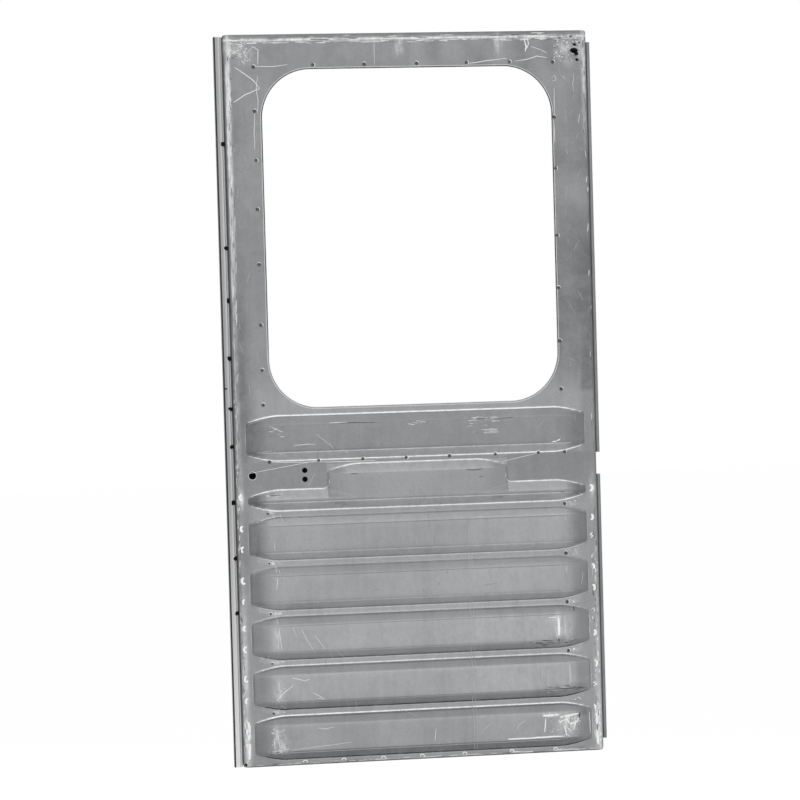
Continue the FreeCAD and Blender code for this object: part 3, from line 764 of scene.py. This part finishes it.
mottle = [  # broken rubs: u and v ranges, count, whether upright, longest, share of dark ones, strength
    ((2, 5), (20, 620), 130, True, 12, 0.5, 1.0), ((4, 9), (480, 700), 18, True, 18, 0.6, 0.6),
    ((5, 12), (700, 1175), 60, True, 22, 0.4, 1.0), ((591, 601), (8, 340), 70, True, 12, 0.35, 1.0),
    ((597, 601.5), (340, 1080), 50, True, 18, 0.9, 1.0), ((597, 601), (1080, 1185), 16, True, 18, 0.3, 0.8),
    ((10, 594), (1184.5, 1187.5), 70, False, 26, 0.2, 0.9), ((10, 594), (1190, 1197), 50, False, 24, 0.7, 0.9),
    ((548, 590), (1148, 1190), 110, False, 4, 0.25, 1.0), ((6, 44), (1158, 1193), 60, False, 5, 0.3, 1.0),
    ((50, 70), (96, 145), 24, False, 4, 0.1, 1.0), ((46, 72), (22, 64), 34, False, 5, 0.1, 1.0),
    ((505, 562), (28, 66), 44, False, 5, 0.2, 1.0), ((386, 430), (553, 565), 22, False, 14, 0.3, 0.6),
    ((380, 436), (535, 552), 14, False, 18, 0.2, 0.5), ((284, 318), (556, 564), 12, False, 12, 0.3, 0.6),
    ((54, 76), (542, 562), 14, False, 12, 0.5, 0.6), ((48, 74), (443, 449), 16, False, 11, 0.3, 0.8),
    ((10, 594), (3.2, 4.2), 60, False, 22, 0.25, 1.0), ((500, 570), (102, 112), 24, False, 12, 0.9, 1.0),
    ((480, 560), (178, 189), 34, False, 10, 0.9, 1.0),
]
sootPaths = [
    [(398, 562), (428, 560), (464, 562)], [(172, 562), (204, 562), (236, 561)],
    [(380, 478), (396, 477), (410, 479)], [(188, 478), (202, 478)], [(402, 465), (410, 466)],
    [(537, 436), (548, 434)], [(520, 110), (548, 107), (572, 108)], [(500, 190), (520, 188)],
    [(526, 21), (548, 24), (560, 23)],
]


def mottleStrokes():
    strokes = []
    for across, up, count, upright, longest, dark, level in mottle:
        for _ in range(count):
            u, v = rng.uniform(*across), rng.uniform(*up)
            length = rng.uniform(0.3, 1.0) * longest
            lean = rng.gauss(0, 0.03 if longest > 20 else 0.12 if longest > 9 else 0.8)
            aside, onward = math.sin(lean) * length, math.cos(lean) * length
            reach = (aside, onward) if upright else (onward, aside)
            path = resample([(u, v), (u + reach[0], v + reach[1])], 3)
            path = [(min(602, max(2, a)), min(1197.5, max(1.6, b))) for a, b in path]
            if rng.random() < dark:
                attribute, strength = "dirtAndShade", rng.uniform(0.35, 0.85)
            else:
                attribute, strength = "rubAndHighlight", rng.uniform(0.5, 1.0)
            if len(path) > 1:
                strokes.append((rng.uniform(0.9, 2.3), path, 0, attribute, strength * level))
    return strokes


def lineStrokes():
    strokes = mottleStrokes()
    for attribute, strength, width, path in creaseLines():
        strokes.append((width, [(u, v + rng.uniform(-0.12, 0.12)) for u, v in path], 8, attribute, strength))
    # painted shade along the bottom edge
    strokes.append((2.2, [(u, 1.5) for u in spread(6, 598, 8)], 4, "dirtAndShade", 1.0))
    for path in sootPaths:
        strokes.append((1.7, resample(path, 3), 2, "dirtAndShade", 1.0))
    v = 498.0
    while v < 1150:  # the rubbed edge of the left fold
        end = v + rng.uniform(30, 60)
        u = 4.6 + rng.uniform(-0.5, 0.7)
        path = [(u + rng.uniform(-0.3, 0.3), height) for height in spread(v, end, 4)]
        width = rng.uniform(1.8, 2.8)
        strength = (0.35 + follow(bands["leftFold"], v)) * rng.uniform(0.6, 0.9)
        strokes.append((width, path, 3, "rubAndHighlight", strength))
        v = end - rng.uniform(-4, 3)
    # painted shade along the upper part of the window's edge
    rim = windowPath(1.0)
    lowest = rim.index(min(rim, key=lambda spot: spot[1]))
    rim = [spot for spot in rim[lowest:] + rim[1:lowest] if spot[1] > 680]
    strokes.append((1.8, rim, 6, "dirtAndShade", 1.0))
    for u, strength in ((383.6, 0.25), (388.5, 0.16)):
        strokes.append((1.3, [(u, v) for v in spread(8, 396, 3)], 6, "rubAndHighlight", strength))
    for _ in range(lines["faint"]):
        u, v = rng.uniform(12, 592), rng.choice([rng.uniform(10, 580), rng.uniform(600, 1190)])
        if insideWindow(u, v, -14):
            u = rng.choice([rng.uniform(12, 46), rng.uniform(558, 592)])
        lean, length = rng.gauss(0, 0.35), rng.uniform(5, 26)
        if rng.random() < 0.25:
            lean += math.pi / 2
        parts = spread(0, 1, 3 / length)
        path = [(u + math.sin(lean) * length * t, v + math.cos(lean) * length * t) for t in parts]
        path = [(a, b) for a, b in path if 6 < a < 598 and 6 < b < 1192 and not insideWindow(a, b, -3)]
        if len(path) > 2:
            attribute, strength = rng.choice([("rubAndHighlight", rng.uniform(0.15, 0.5)), ("dirtAndShade", rng.uniform(0.2, 0.5))])
            strokes.append((rng.uniform(0.6, 1.0), path, 0, attribute, strength))
    return strokes


linePiece = addObject("creaseLines", buildRidges(lineStrokes(), lines["height"]), skinSteel)
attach(linePiece, "root")
print("lines done:", len(linePiece.data.polygons), "faces")

# spot welds: shallow dished discs, and their burnt spots

welds = {"radius": 3.3, "height": 0.45, "dish": 0.25, "segments": 12, "small": 0.66, "narrow": 0.75, "rim": 0.3}
weldSpots = [(49.5, v) for v in (1147, 1075, 995, 915, 825, 726, 652, 595)]
weldSpots += [(547, v) for v in (1148, 1057, 972, 861, 774, 686, 606)]
weldSpots += [(u, 1149) for u in (147, 232, 319, 402, 474)]
weldSpots += [(u, 501.5) for u in (57, 138.5, 211.5, 283.5, 356, 433, 505.5, 550)]
weldSpots += [(548, v) for v in (415, 332.5, 251, 169.5)] + [(52, v) for v in (417, 335, 252, 170, 88)]
frameTrees = []
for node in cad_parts.values():
    corners = [node.matrix_world @ vert.co for vert in node.data.vertices]
    frameTrees.append(BVHTree.FromPolygons(corners, [face.vertices for face in node.data.polygons]))
bottomSpots = [(u, 5.2) for u in (102, 166, 232, 297, 368, 448, 522)]


def backFace(u, v):  # depth where the frame's flange lies on the back of the skin
    found = [tree.ray_cast(place(u, 60, v), Vector((0, -1, 0)))[0] for tree in frameTrees]
    depth = max([spot.y * 1000 - door["front"] for spot in found if spot], default=99.0)
    return depth if depth < 3 else None


def weldSize(u, v):  # the ones at the left ends of the ribs are small
    return welds["small"] if u < 53 and v < 500 else 1.0


def buildWelds():
    bm = bmesh.new()
    seats = [(u, frontFace(u, v), v, 1) for u, v in weldSpots]
    seats += [(u, backFace(u, v), v, -1) for u, v in weldSpots if backFace(u, v)]
    for u, w, v, side in seats:
        radius = welds["radius"] * weldSize(u, v) * rng.uniform(0.85, 1.15)
        turn = Matrix.Translation(place(u, w, v)) @ Matrix.Rotation(side * math.pi / 2, 4, "X")
        made = bmesh.ops.create_cone(
            bm, cap_ends=True, segments=welds["segments"], radius1=radius / 1000,
            radius2=radius * welds["narrow"] / 1000, depth=2 * welds["height"] / 1000, matrix=turn)["verts"]
        outer = min(made, key=lambda vert: vert.co.y * side).co.y
        around = {face for vert in made for face in vert.link_faces}
        top = [face for face in around if all(abs(vert.co.y - outer) < 1e-6 for vert in face.verts)]
        bmesh.ops.inset_region(bm, faces=top, thickness=radius * welds["rim"] / 1000, depth=-welds["dish"] / 1000)
    bmesh.ops.recalc_face_normals(bm, faces=bm.faces)
    return bm


weldPiece = addObject("spotWelds", buildWelds(), weldSteel)
shadeSmooth(weldPiece.data, 50)
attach(weldPiece, "root")


rims = {"bottomAcross": 3.6, "bottomUp": 3.2, "hole": 0.9, "weld": 3.7, "height": 0.26}


def rimStrokes():  # painted highlights: rings round the bottom welds and the lock hole, rims of the dark welds, and a line along the window's edge
    strokes = []
    for u, v in bottomSpots:
        arc = arcPath(u, v, rims["bottomAcross"], rims["bottomUp"], range(-30, 220, 25))
        strokes.append((1.9, arc, 0, "rubAndHighlight", 1.0))
    for u, v, radius in holes[:1]:
        ring = arcPath(u, v, radius + rims["hole"], radius + rims["hole"], range(0, 361, 24))
        strokes.append((0.6, ring, 1, "rubAndHighlight", 1.0))
    for u, v in weldSpots:
        start, reach = rng.uniform(-60, 30), rims["weld"] * weldSize(u, v)
        arc = arcPath(u, v, reach, reach, [start + turn for turn in range(0, 150, 30)])
        strokes.append((1.2, arc, 0, "rubAndHighlight", 1.0))
    return strokes + [(0.9, windowPath(2.6), 1, "rubAndHighlight", 0.8)]


ringPiece = addObject("weldRims", buildRidges(rimStrokes(), rims["height"]), brightSteel)
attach(ringPiece, "root")

# painted shade for burn holes in the groove, dark notches along the right fold, dark blots near the upper right
# corner, and painted shade in the hollow behind the lock holes

burnsAndShade = {"notch": 4.0, "thick": 0.3}
# painted shade for small burn holes in the groove, then dark notches along the right fold
notches = [(-2.6, 5.9, v) for v in (1023, 853, 673, 590, 528, 436, 345, 255)] + [(-2.2, 6.4, 767)]
notches += [(604.4, 5.0, v) for v in (942, 757, 292)]
blots = [  # centre u, v, half width, half height
    (584, 1176, 3.2, 2.6), (585, 1165, 5.2, 3.4), (580, 1167, 4.2, 1.8), (588, 1151, 2.6, 2.6),
    (592, 1179, 1.8, 1.4), (578, 1189, 2.6, 0.9), (582, 1166, 6.5, 4.4), (587, 1161, 3.4, 2.6),
    (559, 1187, 2.6, 0.8), (13, 1089, 0.9, 1.3), (4, 5, 2.2, 2.6), (12.5, 1128, 0.8, 0.8), (558, 237, 0.6, 6),
    (562, 62, 0.6, 5), (530, 190, 0.7, 4),
]
stripBlot = (-10.4, 6, 623.5, 3.1, 1.2)  # a dark nick on the strip: centre u, w, v, half width, half height
darkBehind = [(114.8, 16.4, 478.5, 10, 15), (29.5, 22.6, 479.8, 9, 10)]  # painted shade: dark discs in the unlit hollow behind the lock holes


def addBlot(bm, u, w, v, across, up, segments, ragged):
    turn = Matrix.Translation(place(u, w, v)) @ Matrix.Rotation(math.pi / 2, 4, "X")
    made = bmesh.ops.create_cone(bm, cap_ends=True, segments=segments, radius1=0.001, radius2=0.001,
                                 depth=2 * burnsAndShade["thick"] / 1000, matrix=turn)["verts"]
    centre = place(u, w, v)
    factors = [1 + rng.uniform(-ragged, ragged) for _ in range(segments)]
    for vert in made:
        arm = vert.co - centre
        spoke = round(math.atan2(arm.z, arm.x) / math.tau * segments) % segments
        vert.co = centre + Vector((arm.x * across * factors[spoke], arm.y, arm.z * up * factors[spoke]))


def buildBurnsAndShade():
    bm = bmesh.new()
    for u, w, v in notches:
        across = burnsAndShade["notch"] * rng.uniform(0.95, 1.15)
        addBlot(bm, u, w, v, across, burnsAndShade["notch"] * rng.uniform(0.85, 1.1), 8, 0.25)
    for u, v, across, up in blots:
        addBlot(bm, u, frontFace(u, v), v, across, up, 11, 0.3)
    addBlot(bm, *stripBlot, 8, 0.1)
    for u, w, v, across, up in darkBehind:
        addBlot(bm, u, w, v, across, up, 16, 0.0)
    bmesh.ops.recalc_face_normals(bm, faces=bm.faces)
    return bm


burnAndShadePiece = addObject("burnAndShadeSpots", buildBurnsAndShade(), burnAndShadeSteel)
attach(burnAndShadePiece, "root")
print("welds and burns done")

# floor, light and camera

studio = {
    "floorDrop": 0.45, "floorSize": 30.0, "floorTone": 0.8, "floorRoughness": 0.9, "floorGlow": 1.06,
    "floorShare": 0.9, "worldLight": 0.42,
}


def switchedWhite(tree, lit, output, glow, share):  # white to the camera and in reflections, plain light elsewhere
    path = addNode(tree, "ShaderNodeLightPath")
    factor = path.outputs["Is Camera Ray"]
    for ray in ("Is Glossy Ray", "Is Transmission Ray"):
        either = addNode(tree, "ShaderNodeMath", operation="MAXIMUM")
        tree.links.new(factor, either.inputs[0])
        tree.links.new(path.outputs[ray], either.inputs[1])
        factor = either.outputs[0]
    scaled = addNode(tree, "ShaderNodeMath", operation="MULTIPLY")
    tree.links.new(factor, scaled.inputs[0])
    scaled.inputs[1].default_value = share
    mix = addNode(tree, "ShaderNodeMixShader")
    tree.links.new(scaled.outputs[0], mix.inputs[0])
    tree.links.new(lit, mix.inputs[1])
    tree.links.new(glow, mix.inputs[2])
    tree.links.new(mix.outputs[0], output)


floorFinish = bpy.data.materials.new("paleFloor")
floorFinish.use_nodes = True
tree = floorFinish.node_tree
matt = tree.nodes["Principled BSDF"]
matt.inputs["Base Color"].default_value = (studio["floorTone"],) * 3 + (1,)
matt.inputs["Roughness"].default_value = studio["floorRoughness"]
glow = addNode(tree, "ShaderNodeEmission")
glow.inputs["Strength"].default_value = studio["floorGlow"]
surface = tree.nodes["Material Output"].inputs["Surface"]
switchedWhite(tree, matt.outputs[0], surface, glow.outputs[0], studio["floorShare"])
bm = bmesh.new()
bmesh.ops.create_grid(bm, x_segments=1, y_segments=1, size=studio["floorSize"] / 2)
bmesh.ops.translate(bm, verts=bm.verts, vec=(-0.3, 0, door["bottom"] / 1000 - studio["floorDrop"]))
floor = addObject("floor", bm, floorFinish)

world = bpy.data.worlds.new("studio")
bpy.context.scene.world = world
world.use_nodes = True
tree = world.node_tree
sky = tree.nodes["Background"]
sky.inputs["Color"].default_value = (1, 1, 1, 1)
sky.inputs["Strength"].default_value = studio["worldLight"]
white = addNode(tree, "ShaderNodeBackground")
white.inputs["Color"].default_value = (1, 1, 1, 1)
switchedWhite(tree, sky.outputs[0], tree.nodes["World Output"].inputs["Surface"], white.outputs[0], 1.0)

lamps = [
    {"name": "front", "at": (-0.35, -3.0, 0.95), "aim": (-0.3, 0, 0.35), "size": 2.2, "power": 36},
    {"name": "ceiling", "at": (-0.3, -1.4, 2.8), "aim": (-0.3, 0, 0.3), "size": 2.2, "power": 12},
    {"name": "rear", "at": (0.3, 2.6, 1.0), "aim": (-0.3, 0, 0.3), "size": 2.2, "power": 50},
]
for lamp in lamps:
    data = bpy.data.lights.new(lamp["name"], "AREA")
    data.size, data.energy = lamp["size"], lamp["power"]
    item = bpy.data.objects.new(lamp["name"], data)
    item.location = lamp["at"]
    item.rotation_euler = (Vector(lamp["aim"]) - Vector(lamp["at"])).to_track_quat("-Z", "Y").to_euler()
    bpy.context.scene.collection.objects.link(item)

shot = {  # angles in degrees, distances in metres, the focal length in pixels
    "turn": 8.25, "tilt": -1.86, "roll": -1.59, "distance": 4.619, "aside": 0.0257, "above": 0.0046,
    "focal": 2800.0, "pixels": 800, "sensor": 36,
}


def aimCamera():
    turn, tilt, roll = (math.radians(shot[key]) for key in ("turn", "tilt", "roll"))
    ahead = Vector((math.sin(turn) * math.cos(tilt), math.cos(turn) * math.cos(tilt), math.sin(tilt)))
    side = Vector((math.cos(turn), -math.sin(turn), 0))
    over = side.cross(ahead)
    right = math.cos(roll) * side + math.sin(roll) * over
    up = -math.sin(roll) * side + math.cos(roll) * over
    centre = place(door["width"] / 2, 0, door["height"] / 2)
    spot = centre - ahead * shot["distance"] - right * shot["aside"] - up * shot["above"]
    data = bpy.data.cameras.new("camera")
    data.sensor_width = shot["sensor"]
    data.lens = shot["focal"] / shot["pixels"] * shot["sensor"]
    camera = bpy.data.objects.new("camera", data)
    camera.matrix_world = Matrix.Translation(spot) @ Matrix((right, up, -ahead)).transposed().to_4x4()
    bpy.context.scene.collection.objects.link(camera)
    bpy.context.scene.camera = camera


aimCamera()
bpy.context.scene.view_settings.view_transform = "Standard"
print("studio done")
